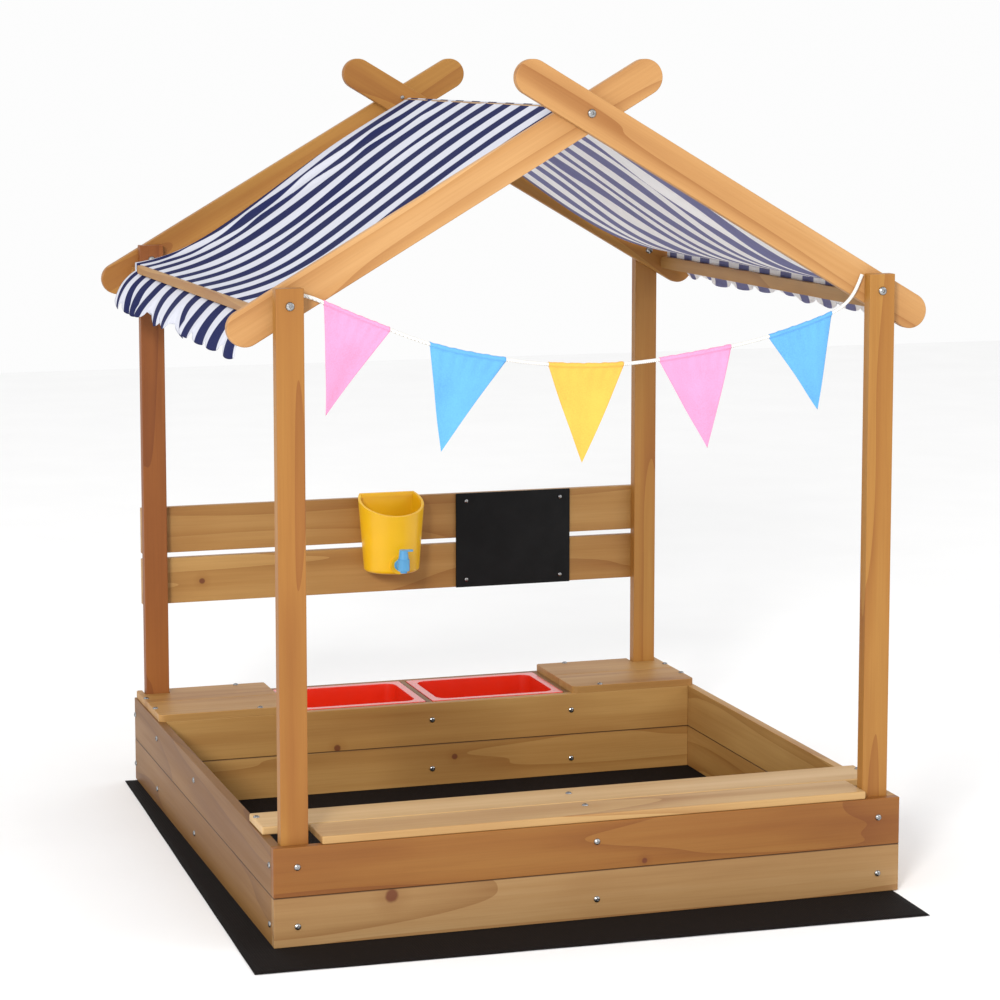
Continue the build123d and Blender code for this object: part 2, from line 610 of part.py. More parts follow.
def hook():
    """The strap that folds over the upper rail."""
    x = (BUCKET_X - HOOK_WIDTH / 2, BUCKET_X + HOOK_WIDTH / 2)
    start = BUCKET_Y + BUCKET_BACK - BUCKET_WALL
    behind = HALF_DEPTH + BUCKET_GAP
    under = RAIL_TOP + BUCKET_GAP
    over = under + HOOK_THICKNESS
    strap = block(x, (start, behind + HOOK_THICKNESS), (under, over))
    return strap + block(x, (behind, behind + HOOK_THICKNESS), (RAIL_TOP - HOOK_DROP, over))


TAP_BODY_BOTTOM = BOSS_HEIGHT + TAP_BODY_ABOVE_BOSS - TAP_BODY_HEIGHT
TAP_BODY_TOP = TAP_BODY_BOTTOM + TAP_BODY_HEIGHT
BUCKET_INSIDE = BUCKET_Y - BOSS_WALL_RADIUS + BUCKET_WALL
TAP_WASHER_SEAT = BUCKET_INSIDE + TAP_WASHER_STAND
TAP_THREAD_END = TAP_WASHER_SEAT + TAP_WASHER_THICKNESS + TAP_NUT_THICKNESS + TAP_THREAD_SPARE


def tap_body():
    low = TAP_BODY_BOTTOM - TAP_SPOUT_LENGTH
    outline = [
        (0, 0), (TAP_SPOUT_RADIUS, 0), (TAP_SPOUT_RADIUS, TAP_SPOUT_LENGTH),
        (TAP_BODY_RADIUS, TAP_SPOUT_LENGTH), (TAP_BODY_RADIUS, TAP_SPOUT_LENGTH + TAP_BODY_HEIGHT),
        (0, TAP_SPOUT_LENGTH + TAP_BODY_HEIGHT),
    ]
    body = turned(outline, (BUCKET_X, TAP_Y, low), (0, 0, 1))
    centre = (BUCKET_X, TAP_Y, BOSS_HEIGHT)
    body = body + rod(TAP_BARREL_RADIUS, centre, (0, 1, 0), BOSS_SEAT - TAP_Y)
    flange = (BUCKET_X, BOSS_SEAT - TAP_FLANGE_THICKNESS, BOSS_HEIGHT)
    body = body + rod(TAP_FLANGE_RADIUS, flange, (0, 1, 0), TAP_FLANGE_THICKNESS)
    body = body + rod(TAP_THREAD_RADIUS, centre, (0, 1, 0), TAP_THREAD_END - TAP_Y)
    waterway = rod(TAP_WATERWAY_RADIUS, (BUCKET_X, TAP_Y, low - 1), (0, 0, 1), BOSS_HEIGHT - low + 1)
    inlet = rod(TAP_WATERWAY_RADIUS, centre, (0, 1, 0), TAP_THREAD_END - TAP_Y + 1)
    stem_room = rod(
        TAP_STEM_RADIUS + THREAD_CLEARANCE,
        (BUCKET_X, TAP_Y, TAP_BODY_TOP - TAP_STEM_DEPTH - TAP_TURN_CLEARANCE), (0, 0, 1),
        TAP_STEM_DEPTH + 2 * TAP_TURN_CLEARANCE,
    )
    return body - waterway - inlet - stem_room


def tap_lever():
    base = TAP_BODY_TOP + TAP_TURN_CLEARANCE
    top = base + TAP_NECK_HEIGHT
    neck = Cone(
        TAP_NECK_RADIUS, TAP_NECK_TOP_RADIUS, TAP_NECK_HEIGHT,
        align=(Align.CENTER, Align.CENTER, Align.MIN),
    )
    neck = Pos(BUCKET_X, TAP_Y, base) * neck
    stem_foot = (BUCKET_X, TAP_Y, TAP_BODY_TOP - TAP_STEM_DEPTH)
    stem = rod(TAP_STEM_RADIUS, stem_foot, (0, 0, 1), TAP_STEM_DEPTH + 1)
    x = (BUCKET_X, BUCKET_X + TAP_LEVER_LENGTH)
    y = (TAP_Y - TAP_LEVER_WIDTH / 2, TAP_Y + TAP_LEVER_WIDTH / 2)
    blade = block(x, y, (top - 0.5, top + TAP_LEVER_THICKNESS))
    blade = fillet(blade.edges().filter_by(Axis.Z).group_by(Axis.X)[-1], TAP_LEVER_WIDTH * 0.4)
    cap = rod(TAP_NECK_TOP_RADIUS, (BUCKET_X, TAP_Y, top - 0.5), (0, 0, 1), TAP_LEVER_THICKNESS + 0.5)
    return neck + stem + blade + cap


def tap_fixings():
    way = (0, 1, 0)
    seat = (BUCKET_X, TAP_WASHER_SEAT, BOSS_HEIGHT)
    bore = rod(TAP_THREAD_RADIUS + THREAD_CLEARANCE, seat, way, TAP_NUT_THICKNESS * 2)
    washer = rod(TAP_WASHER_RADIUS, seat, way, TAP_WASHER_THICKNESS) - bore
    place = Plane(
        origin=(BUCKET_X, TAP_WASHER_SEAT + TAP_WASHER_THICKNESS, BOSS_HEIGHT),
        x_dir=(1, 0, 0), z_dir=way,
    )
    nut = extrude(place * RegularPolygon(TAP_NUT_RADIUS, 6), TAP_NUT_THICKNESS) - bore
    return washer, nut


# ---- roof frame ----
def rafter(side, y):
    """A round-ended board that crosses the ridge bolt and slopes down to one side."""
    length = RAFTER_PAST_RIDGE + RAFTER_RUN + RAFTER_PAST_POST
    outline = Pos(length / 2 - RAFTER_PAST_RIDGE, 0) * SlotOverall(length, RAFTER_WIDTH)
    board = extrude(outline, RAFTER_THICKNESS)
    broad = board.faces().sort_by(Axis.Z)
    board = fillet(broad[0].edges() + broad[-1].edges(), RAFTER_EASE)
    down = RAFTER_SLOPE if side > 0 else 180 - RAFTER_SLOPE
    board = Rot(90, 0, 0) * board
    board = Rot(0, down, 0) * board
    return Pos(0, y[1], RIDGE_BOLT_Z) * board


def spacer(x, y, z):
    bush = rod(SPACER_RADIUS, (x, y[0], z), (0, 1, 0), y[1] - y[0])
    return bush - rod(BOLT_RADIUS + HOLE_CLEARANCE, (x, y[0] - 1, z), (0, 1, 0), y[1] - y[0] + 2)


def roof_frame():
    pieces["rafter_front_right"] = rafter(1, RAFTER_FRONT_RIGHT_Y)
    pieces["rafter_front_left"] = rafter(-1, RAFTER_FRONT_LEFT_Y)
    pieces["rafter_rear_right"] = rafter(1, RAFTER_REAR_RIGHT_Y)
    pieces["rafter_rear_left"] = rafter(-1, RAFTER_REAR_LEFT_Y)
    pieces["rafter_spacers"] = [
        spacer(-POST_X, RAFTER_FRONT_RIGHT_Y, POST_BOLT_Z),
        spacer(0, REAR_POST_Y, RIDGE_BOLT_Z),
    ]
    pole_y = (RAFTER_FRONT_LEFT_Y[1], RAFTER_REAR_RIGHT_Y[0])
    pole_start = (0, pole_y[0], RIDGE_BOLT_Z)
    pieces["ridge_pole"] = rod(RIDGE_POLE_RADIUS, pole_start, (0, 1, 0), pole_y[1] - pole_y[0])
    through_bolt(-POST_X, POST_BOLT_Z, (FRONT_POST_Y[0], RAFTER_FRONT_LEFT_Y[1]))
    through_bolt(POST_X, POST_BOLT_Z, (FRONT_POST_Y[0], RAFTER_FRONT_RIGHT_Y[1]))
    through_bolt(-POST_X, POST_BOLT_Z, (REAR_POST_Y[0], RAFTER_REAR_LEFT_Y[1]))
    through_bolt(POST_X, POST_BOLT_Z, (RAFTER_REAR_RIGHT_Y[0], REAR_POST_Y[1]))
    pole_bolt(RAFTER_FRONT_RIGHT_Y[0], 1, pole_y[0] - RAFTER_FRONT_RIGHT_Y[0])
    pole_bolt(RAFTER_REAR_LEFT_Y[1], -1, RAFTER_REAR_LEFT_Y[1] - pole_y[1])


def round_ended(x, y, z):
    """A slat with its two ends rounded in its own upright plane."""
    height = z[1] - z[0]
    place = Plane(origin=(x[0], sum(y) / 2, sum(z) / 2), x_dir=(0, 1, 0), z_dir=(1, 0, 0))
    return extrude(place * SlotOverall(y[1] - y[0], height), x[1] - x[0])


def eaves():
    beams_y = {
        "left": (RAFTER_FRONT_LEFT_Y[1], RAFTER_REAR_LEFT_Y[0]),
        "right": (RAFTER_FRONT_RIGHT_Y[1], RAFTER_REAR_RIGHT_Y[0]),
    }
    slat_y = (RAFTER_FRONT_LEFT_Y[1] + EAVE_SLAT_START, RAFTER_REAR_RIGHT_Y[0] - EAVE_SLAT_SHORT)
    beam_z = (EAVE_BEAM_BOTTOM, EAVE_BEAM_TOP)
    for side, sign in (("left", -1), ("right", 1)):
        beam_x = sorted((sign * EAVE_BEAM_IN, sign * EAVE_BEAM_OUT))
        slat_x = sorted((sign * SLAT_IN, sign * SLAT_OUT))
        beam_y = beams_y[side]
        pieces["eave_beam_" + side] = round_ended(beam_x, beam_y, beam_z)
        pieces["eave_slat_" + side] = round_ended(slat_x, slat_y, (EAVE_SLAT_BOTTOM, SLAT_TOP))
        middle = (sum(beam_x) / 2, 0, sum(beam_z) / 2)
        for end_y in beam_y:
            start = (middle[0], end_y - DOWEL_DEPTH, middle[2])
            eave_pins.append(rod(DOWEL_RADIUS, start, (0, 1, 0), 2 * DOWEL_DEPTH))
            start = (middle[0], end_y - DOWEL_DEPTH - HOLE_CLEARANCE, middle[2])
            room = 2 * (DOWEL_DEPTH + HOLE_CLEARANCE)
            holes.append(rod(DOWEL_RADIUS + HOLE_CLEARANCE, start, (0, 1, 0), room))
        brad_z = (EAVE_SLAT_BOTTOM + EAVE_BEAM_TOP) / 2
        step = (slat_y[1] - slat_y[0] - 2 * BRAD_END) / (BRAD_COUNT - 1)
        for index in range(BRAD_COUNT):
            at = (sign * SLAT_OUT, slat_y[0] + BRAD_END + index * step, brad_z)
            eave_pins.append(rod(BRAD_RADIUS, at, (-sign, 0, 0), BRAD_LENGTH))
            holes.append(rod(BRAD_RADIUS + HOLE_CLEARANCE, at, (-sign, 0, 0), BRAD_LENGTH + HOLE_CLEARANCE))


# ---- fabric roof: one sheet over the pole, held by the slats, with a hanging hem ----
def canopy():
    inner_ridge = RIDGE_BOLT_Z + RIDGE_POLE_RADIUS + CANVAS_GAP
    outer_ridge = inner_ridge + CANVAS_THICKNESS
    bend_x = VALANCE_OUT * VALANCE_BEND
    bend_z = VALANCE_DROP * VALANCE_BEND * VALANCE_BEND
    hem_z = EAVE_SLAT_BOTTOM - VALANCE_DROP
    half_outer = [
        (CANVAS_OUT, SLAT_TOP),
        (CANVAS_OUT, EAVE_SLAT_BOTTOM),
        (CANVAS_OUT + bend_x, EAVE_SLAT_BOTTOM - bend_z),
        (CANVAS_OUT + VALANCE_OUT, hem_z),
    ]
    half_inner = [
        (CANVAS_OUT + VALANCE_OUT - CANVAS_THICKNESS, hem_z),
        (CANVAS_OUT + bend_x - CANVAS_THICKNESS, EAVE_SLAT_BOTTOM - bend_z - CANVAS_THICKNESS),
        (CANVAS_IN, EAVE_SLAT_BOTTOM - CANVAS_THICKNESS),
        (CANVAS_IN, SLAT_TOP - CANVAS_THICKNESS / 2),
    ]
    right = [(0, outer_ridge)] + half_outer + half_inner + [(0, inner_ridge)]
    left = [(-x, z) for x, z in reversed(right[1:-1])]
    front = RAFTER_FRONT_LEFT_Y[1] + CANVAS_FRONT_GAP
    rear = RAFTER_REAR_RIGHT_Y[0] - CANVAS_REAR_GAP
    outline = Polyline(*[(x, front, z) for x, z in right + left], close=True)
    sheet = extrude(make_face(outline), rear - front, dir=(0, 1, 0))
    pole_room = rod(RIDGE_POLE_RADIUS + CANVAS_GAP, (0, front - 1, RIDGE_BOLT_Z), (0, 1, 0), rear - front + 2)
    return sheet - pole_room


# ---- bunting ----
def cord():
    """A round cord along the route, each corner of the route turned on a wide arc."""
    points = [Vector(*point) for point in CORD_ROUTE]
    radii = []
    for before, here, after in zip(points, points[1:], points[2:]):
        arriving = here - before
        leaving = after - here
        half_turn = math.radians(arriving.get_angle(leaving)) / 2
        radii.append(0.45 * min(arriving.length, leaving.length) / math.tan(half_turn))
    print("cord arc radii", [round(radius) for radius in radii])
    path = FilletPolyline(*points, radius=radii)
    section = Plane(origin=path @ 0, z_dir=path % 0) * Circle(CORD_DIAMETER / 2)
    tube = sweep(section, path=path)
    print("cord length", round(path.length, 1), "volume ratio", tube.volume / (section.area * path.length))
    return tube


def cord_height(x):
    """The height and the depth of the cord's route at an X."""
    for before, after in zip(CORD_ROUTE, CORD_ROUTE[1:]):
        if before[0] <= x <= after[0]:
            share = (x - before[0]) / (after[0] - before[0])
            return tuple(b + (a - b) * share for b, a in zip(before, after))
    raise ValueError("outside the cord")


def pennant(left, right, tip):
    """A flag whose upper edge follows the cord and whose tip hangs down."""
    upper = [cord_height(left)]
    upper += [point for point in CORD_ROUTE if left < point[0] < right]
    upper += [cord_height(right)]
    y = sum(point[1] for point in upper) / len(upper)
    outline = [(point[0], y, point[2]) for point in upper] + [(tip[0], y, tip[1])]
    face = make_face(Polyline(*outline, close=True))
    half = PENNANT_THICKNESS / 2
    return extrude(face, half, dir=(0, 1, 0)) + extrude(face, half, dir=(0, -1, 0))


# ---- put the object together ----
def canvas_tie():
    """A small screw beside the ridge that ties the canvas to a rear rafter."""
    panel_screw((-TIE_SHIFT, RAFTER_REAR_RIGHT_Y[0], RIDGE_BOLT_Z + TIE_RISE))


box_walls()
wall_screws()
posts()
rails()
seat()
corner_plate("left", -1)
corner_plate("right", 1)
trough()
writing_board()
roof_frame()
eaves()
canvas_tie()
pieces["canopy"] = canopy()
hole_boxes = [corners(hole) for hole in holes]
for name, solid in pieces.items():
    if isinstance(solid, list):
        pieces[name] = [drilled(one, hole_boxes) for one in solid]
    else:
        pieces[name] = drilled(solid, hole_boxes)
pieces["ground_sheet"] = ground_sheet()
pieces["bucket"] = bucket()
pieces["tap_body"] = tap_body()
pieces["tap_lever"] = tap_lever()
pieces["tap_washer"], pieces["tap_nut"] = tap_fixings()
pieces["bunting_cord"] = cord()
for name, left, right, tip in PENNANTS:
    pieces[name] = pennant(left, right, tip)
pieces["wood_screws"] = wood_screws
pieces["panel_screws"] = panel_screws
pieces["roof_bolts"] = roof_bolts
pieces["roof_nuts"] = roof_nuts
pieces["eave_pins"] = eave_pins

for name, solid in pieces.items():
    shape = Compound(children=list(solid)) if isinstance(solid, list) else solid
    export_step(shape, "parts/" + name + ".step")
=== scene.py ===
import math
import random

import bmesh
import bpy
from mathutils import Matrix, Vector, noise


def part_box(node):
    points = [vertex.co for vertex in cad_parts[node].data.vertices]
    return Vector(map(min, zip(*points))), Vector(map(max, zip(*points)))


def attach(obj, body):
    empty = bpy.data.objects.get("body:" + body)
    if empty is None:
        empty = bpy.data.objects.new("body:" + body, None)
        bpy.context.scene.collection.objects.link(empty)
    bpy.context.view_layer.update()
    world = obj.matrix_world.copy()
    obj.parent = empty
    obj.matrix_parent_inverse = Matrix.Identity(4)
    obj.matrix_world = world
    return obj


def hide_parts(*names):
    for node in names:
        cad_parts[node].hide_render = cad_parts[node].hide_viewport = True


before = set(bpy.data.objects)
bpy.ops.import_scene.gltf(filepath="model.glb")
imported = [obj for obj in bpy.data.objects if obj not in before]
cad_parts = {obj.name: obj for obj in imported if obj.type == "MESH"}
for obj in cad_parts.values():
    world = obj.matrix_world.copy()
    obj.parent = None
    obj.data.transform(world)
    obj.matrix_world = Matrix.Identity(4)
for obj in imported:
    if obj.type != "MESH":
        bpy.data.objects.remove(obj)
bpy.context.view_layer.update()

# A wooden sandbox with a striped fabric roof. Metres, the frame's own axes.

# ---- camera, set to see the object as a person standing at its left front does ----
CAMERA_PLACE = (-1.747, -5.507, 1.551)
CAMERA_TURN = (math.radians(82.95), 0.0, math.radians(-17.81))
CAMERA_LENS = 105.5
CAMERA_SENSOR = 36.0
CAMERA_SHIFT_Y = -0.08

# ---- light and floor ----
WORLD_STRENGTH = 0.98
LIGHT_TARGET = (0, 0, 0.6)
# each lamp: name, place, size, power and colour
LIGHTS = [
    ("key", (-4.9, -8.0, 4.2), 2.0, 600, (1.0, 0.985, 0.96)),
    ("fill", (6.0, -3.0, 3.5), 3.5, 60, (1.0, 1.0, 1.0)),
]
FLOOR_HALF = 9
FLOOR_DROP = 0.0004

# ---- bunting ----
CORD_DIAMETER = 0.0065
CORD_ROUTE = [
    (-0.556, -0.5910, 1.1406), (-0.540, -0.5910, 1.1445), (-0.518, -0.5910, 1.1420),
    (-0.489, -0.5914, 1.1300), (-0.437, -0.5920, 1.1065), (-0.385, -0.5927, 1.0855),
    (-0.333, -0.5933, 1.0640), (-0.281, -0.5940, 1.0460), (-0.226, -0.5946, 1.0325),
    (-0.170, -0.5953, 1.0220), (-0.114, -0.5960, 1.0135), (-0.057, -0.5968, 1.0075),
    (0.000, -0.5975, 1.0048), (0.057, -0.5982, 1.0053), (0.114, -0.5989, 1.0095),
    (0.170, -0.5996, 1.0160), (0.226, -0.6003, 1.0245), (0.281, -0.6010, 1.0335),
    (0.336, -0.6017, 1.0452), (0.390, -0.6023, 1.0605), (0.442, -0.6030, 1.0770),
    (0.478, -0.6034, 1.0920), (0.502, -0.6036, 1.1110), (0.517, -0.6036, 1.1350),
    (0.525, -0.6036, 1.1565),
]
# each flag's CAD node, its colour slot and where its folds start
PENNANTS = [
    ("pennant_pink_left", "pink_cloth", 0.4),
    ("pennant_blue", "light_blue_cloth", 1.9),
    ("pennant_yellow", "yellow_cloth", 3.1),
    ("pennant_pink_right", "pink_cloth", 4.4),
    ("pennant_light_blue", "light_blue_cloth", 5.6),
]

# ---- canvas ----
STRIPE_PERIOD = 0.1095
STRIPE_WIDTH = 0.054
FIRST_STRIPE = 0.034
CANVAS_THICKNESS = 0.0008
CANVAS_THREAD = 0.0011
FLAG_THREAD = 0.0008
GROUND_TAPE = 0.005


def srgb(red, green, blue):
    """A colour from the usual 0 to 255 values, as a linear RGBA."""
    def linear(value):
        share = value / 255
        return share / 12.92 if share <= 0.04045 else ((share + 0.055) / 1.055) ** 2.4
    return (linear(red), linear(green), linear(blue), 1.0)


# ---- camera, light and floor ----
def make_camera():
    data = bpy.data.cameras.new("camera")
    data.lens = CAMERA_LENS
    data.sensor_width = CAMERA_SENSOR
    data.shift_y = CAMERA_SHIFT_Y
    data.clip_end = 50
    camera = bpy.data.objects.new("camera", data)
    camera.location = CAMERA_PLACE
    camera.rotation_euler = CAMERA_TURN
    bpy.context.collection.objects.link(camera)
    bpy.context.scene.camera = camera


def make_light(name, place, size, power, colour):
    """A round soft lamp that shines at the middle of the object."""
    data = bpy.data.lights.new(name, "AREA")
    data.shape = "DISK"
    data.size = size
    data.energy = power
    data.color = colour
    light = bpy.data.objects.new(name, data)
    light.location = place
    aim = Vector(LIGHT_TARGET) - Vector(place)
    light.rotation_euler = aim.to_track_quat("-Z", "Y").to_euler()
    bpy.context.collection.objects.link(light)


def make_world():
    world = bpy.data.worlds.new("studio")
    world.use_nodes = True
    background = world.node_tree.nodes["Background"]
    background.inputs["Color"].default_value = (1.0, 1.0, 1.0, 1.0)
    background.inputs["Strength"].default_value = WORLD_STRENGTH
    scene = bpy.context.scene
    scene.world = world
    scene.view_settings.view_transform = "Standard"


# ---- node helpers ----
class Shade:
    """A material's node tree with short ways to add and join nodes."""

    def __init__(self, name):
        self.material = bpy.data.materials.new(name)
        self.material.use_nodes = True
        self.nodes = self.material.node_tree.nodes
        self.links = self.material.node_tree.links
        self.shader = self.nodes["Principled BSDF"]

    def add(self, kind, **settings):
        node = self.nodes.new("ShaderNode" + kind)
        for key, value in settings.items():
            setattr(node, key, value)
        return node

    def put(self, source, target):
        self.links.new(source, target)

    def place(self):
        return self.add("TexCoord").outputs["Object"]

    def mapped(self, source, location=(0, 0, 0), rotation=(0, 0, 0), scale=(1, 1, 1)):
        node = self.add("Mapping")
        node.inputs["Location"].default_value = location
        node.inputs["Rotation"].default_value = rotation
        node.inputs["Scale"].default_value = scale
        self.put(source, node.inputs["Vector"])
        return node.outputs["Vector"]

    def noise(self, source, scale, detail=3.0, rough=0.5, distortion=0.0):
        node = self.add("TexNoise")
        node.inputs["Scale"].default_value = scale
        node.inputs["Detail"].default_value = detail
        node.inputs["Roughness"].default_value = rough
        node.inputs["Distortion"].default_value = distortion
        self.put(source, node.inputs["Vector"])
        return node.outputs["Fac"]

    def ramp(self, source, stops):
        node = self.add("ValToRGB")
        ramp = node.color_ramp
        while len(ramp.elements) < len(stops):
            ramp.elements.new(0.5)
        for element, (position, colour) in zip(ramp.elements, stops):
            element.position = position
            element.color = colour
        self.put(source, node.inputs["Fac"])
        return node.outputs["Color"]

    def mix(self, factor, first, second, blend="MIX"):
        node = self.add("Mix", data_type="RGBA", blend_type=blend)
        for value, socket in ((factor, 0), (first, 6), (second, 7)):
            if isinstance(value, bpy.types.NodeSocket):
                self.put(value, node.inputs[socket])
            else:
                node.inputs[socket].default_value = value
        return node.outputs[2]

    def math(self, operation, first, second=0.0, third=0.0):
        node = self.add("Math", operation=operation)
        for value, socket in ((first, 0), (second, 1), (third, 2)):
            if isinstance(value, bpy.types.NodeSocket):
                self.put(value, node.inputs[socket])
            else:
                node.inputs[socket].default_value = value
        return node.outputs[0]

    def spread(self, source, low, high, new_low=0.0, new_high=1.0):
        node = self.add("MapRange")
        for key, value in (("From Min", low), ("From Max", high), ("To Min", new_low), ("To Max", new_high)):
            node.inputs[key].default_value = value
        self.put(source, node.inputs["Value"])
        return node.outputs["Result"]

    def bump(self, height, strength, distance):
        node = self.add("Bump")
        node.inputs["Strength"].default_value = strength
        node.inputs["Distance"].default_value = distance
        self.put(height, node.inputs["Height"])
        self.put(node.outputs["Normal"], self.shader.inputs["Normal"])

    def axes(self, source):
        node = self.add("SeparateXYZ")
        self.put(source, node.inputs[0])
        return node.outputs

    def cells(self, source, scale):
        """The distance to the nearest of many scattered points."""
        node = self.add("TexVoronoi", feature="F1")
        node.inputs["Scale"].default_value = scale
        self.put(source, node.inputs["Vector"])
        return node.outputs["Distance"]

    def colour(self, source):
        self.put(source, self.shader.inputs["Base Color"])

    def roughness(self, source):
        self.put(source, self.shader.inputs["Roughness"])

    def set(self, **values):
        for key, value in values.items():
            self.shader.inputs[key.replace("_", " ")].default_value = value


# ---- wood ----
ALONG = {"x": (0, 0, 0), "y": (0, 0, math.pi / 2), "z": (0, math.pi / 2, 0)}
ROOF_SLOPE = math.atan2(0.326, 0.557)
FIELD_SCALE = (0.5, 6.0, 6.0)
RINGS = 7.0
STREAK_SCALE = (0.9, 26.0, 26.0)
FIBRE_SCALE = (6.0, 300.0, 300.0)
KNOTS_PER_METRE = 3.4
KNOT_COLOUR = (98, 46, 24)
# painted shade in the seam between the upper and lower boards: its colour and how far it reaches
SEAM_SHADE_COLOUR = (64, 34, 12)
SEAM_SHADE_REACH = 0.0019
# single knots: the board, its middle and its radius
KNOTS = [
    ("front_board_lower", (-0.386, -0.643, 0.078), 0.0115),
    ("front_board_upper", (0.092, -0.643, 0.101), 0.005),
    ("dividing_board_upper", (-0.215, 0.389, 0.097), 0.007),
    ("dividing_board_lower", (0.045, 0.389, 0.060), 0.006),
    ("rail_lower", (-0.452, 0.625, 0.430), 0.006),
]


def wood(name, turn, tones, seed, knots=(), seam=None):
    """Stained fir whose grain runs along x after the turn: rings, streaks, fibres, knots."""
    shade = Shade(name)
    dark, middle, light = (srgb(*tone) for tone in tones)
    place = shade.place()
    shift = (seed * 1.37 % 7, seed * 2.11 % 5, seed * 3.17 % 6)
    turned = shade.mapped(place, location=shift, rotation=turn)
    field = shade.noise(shade.mapped(turned, scale=FIELD_SCALE), 1.0, 2.0, 0.45, 0.15)
    ring = shade.math("FRACT", shade.math("MULTIPLY", field, RINGS))
    late = shade.math("POWER", ring, 4.0)
    streak = shade.noise(shade.mapped(turned, scale=STREAK_SCALE), 1.0, 4.0, 0.6)
    fibre = shade.noise(shade.mapped(turned, scale=FIBRE_SCALE), 1.0, 3.0, 0.6)
    broad = shade.noise(shade.mapped(turned, scale=(1.1, 3.0, 3.0)), 1.0, 3.0, 0.5)
    streaked = shade.math("MULTIPLY_ADD", broad, 0.5, shade.math("MULTIPLY", streak, 0.42))
    grain = shade.math("MULTIPLY_ADD", late, 0.20, streaked)
    colour = shade.ramp(grain, [(0.32, light), (0.5, middle), (0.78, dark)])
    fibres = shade.ramp(fibre, [(0.32, (0.72, 0.66, 0.58, 1)), (0.55, (1, 1, 1, 1))])
    colour = shade.mix(0.22, colour, fibres, "MULTIPLY")
    warm = shade.spread(shade.noise(shade.mapped(turned, scale=(2.2, 9, 9)), 1.0, 2.0), 0.56, 0.72, 0.0, 0.35)
    colour = shade.mix(warm, colour, srgb(*tones[0]))
    spots = shade.cells(shade.mapped(turned, scale=(0.5, 1, 1)), KNOTS_PER_METRE)
    knot = shade.spread(spots, 0.010, 0.022, 0.7, 0.0)
    halo = shade.spread(spots, 0.012, 0.07, 0.30, 0.0)
    for middle_place, radius in knots:
        apart = shade.add("VectorMath", operation="DISTANCE")
        apart.inputs[1].default_value = middle_place
        wobble = shade.noise(place, 70.0, 2.0)
        shade.put(place, apart.inputs[0])
        reach = shade.math("MULTIPLY_ADD", wobble, radius * 0.5, apart.outputs["Value"])
        own = shade.spread(reach, radius * 1.05, radius * 1.45, 0.85, 0.0)
        ringed = shade.spread(reach, radius * 1.2, radius * 4.0, 0.40, 0.0)
        knot = shade.math("MAXIMUM", knot, own)
        halo = shade.math("MAXIMUM", halo, ringed)
    colour = shade.mix(halo, colour, srgb(*tones[0]))
    colour = shade.mix(knot, colour, srgb(*KNOT_COLOUR))
    # painted shade: the boards are darkened along the seam between them
    if seam is not None:
        off = shade.math("ABSOLUTE", shade.math("SUBTRACT", shade.axes(place)["Z"], seam))
        painted_seam_shade = shade.spread(off, SEAM_SHADE_REACH * 0.5, SEAM_SHADE_REACH, 0.8, 0.0)
        colour = shade.mix(painted_seam_shade, colour, srgb(*SEAM_SHADE_COLOUR))
    shade.colour(colour)
    shade.roughness(shade.spread(streak, 0.3, 0.7, 0.46, 0.58))
    shade.set(Specular_IOR_Level=0.35, Coat_Weight=0.06, Coat_Roughness=0.4)
    height = shade.math("MULTIPLY_ADD", fibre, 0.6, shade.math("MULTIPLY", late, -0.4))
    shade.bump(height, 0.22, 0.0005)
    return shade.material


# tones from dark to light, as stained boards differ from one another
GOLDEN = ((131, 89, 46), (158, 121, 76), (173, 140, 97))
AMBER = ((116, 64, 21), (137, 86, 33), (151, 103, 46))
ORANGE = ((132, 77, 26), (156, 105, 43), (171, 124, 57))
BROWN = ((103, 63, 24), (123, 83, 33), (140, 99, 47))
TAN = ((140, 92, 40), (166, 122, 65), (184, 143, 84))
RUSSET = ((112, 57, 18), (135, 77, 28), (153, 95, 38))
PALE = ((154, 109, 61), (184, 146, 94), (202, 167, 117))
SUNNY = ((150, 98, 48), (182, 134, 80), (200, 156, 104))
WOODS = [
    ("front_board_upper", "x", AMBER), ("front_board_lower", "x", GOLDEN),
    ("left_board", "y", BROWN), ("right_board", "y", TAN), ("rear_board", "x", AMBER),
    ("dividing_board", "x", TAN), ("left_cleat", "z", BROWN), ("front_post", "z", ORANGE),
    ("rear_post_left", "z", RUSSET), ("rear_post_right", "z", ORANGE), ("rail_lower", "x", TAN),
    ("rail_upper", "x", TAN), ("seat_plank", "x", PALE), ("seat_support", "z", BROWN),
    ("corner_plate", "x", TAN), ("trough", "y", BROWN), ("basin_ledges", "x", BROWN), ("eave", "y", TAN),
    ("ridge_pole", "y", GOLDEN), ("rafter_spacers", "y", GOLDEN),
]
SEAMED = ("front_board", "left_board", "right_board", "rear_board", "dividing_board")


def paint_wood():
    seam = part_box("front_board_upper")[0][2]
    seed = 0
    for node, body in sorted(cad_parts.items()):
        if node.startswith("rafter_") and node != "rafter_spacers":
            turn = (0, -ROOF_SLOPE if node.endswith("right") else ROOF_SLOPE, 0)
            tones = SUNNY if "front" in node else ORANGE
        else:
            found = [row for row in WOODS if node.startswith(row[0])]
            if not found:
                continue
            turn = ALONG[found[0][1]]
            tones = found[0][2]
        seed += 1
        knots = [(place, radius) for board, place, radius in KNOTS if board == node]
        own_seam = seam if node.startswith(SEAMED) else None
        body.data.materials.clear()
        body.data.materials.append(wood("wood_" + node, turn, tones, seed, knots, own_seam))


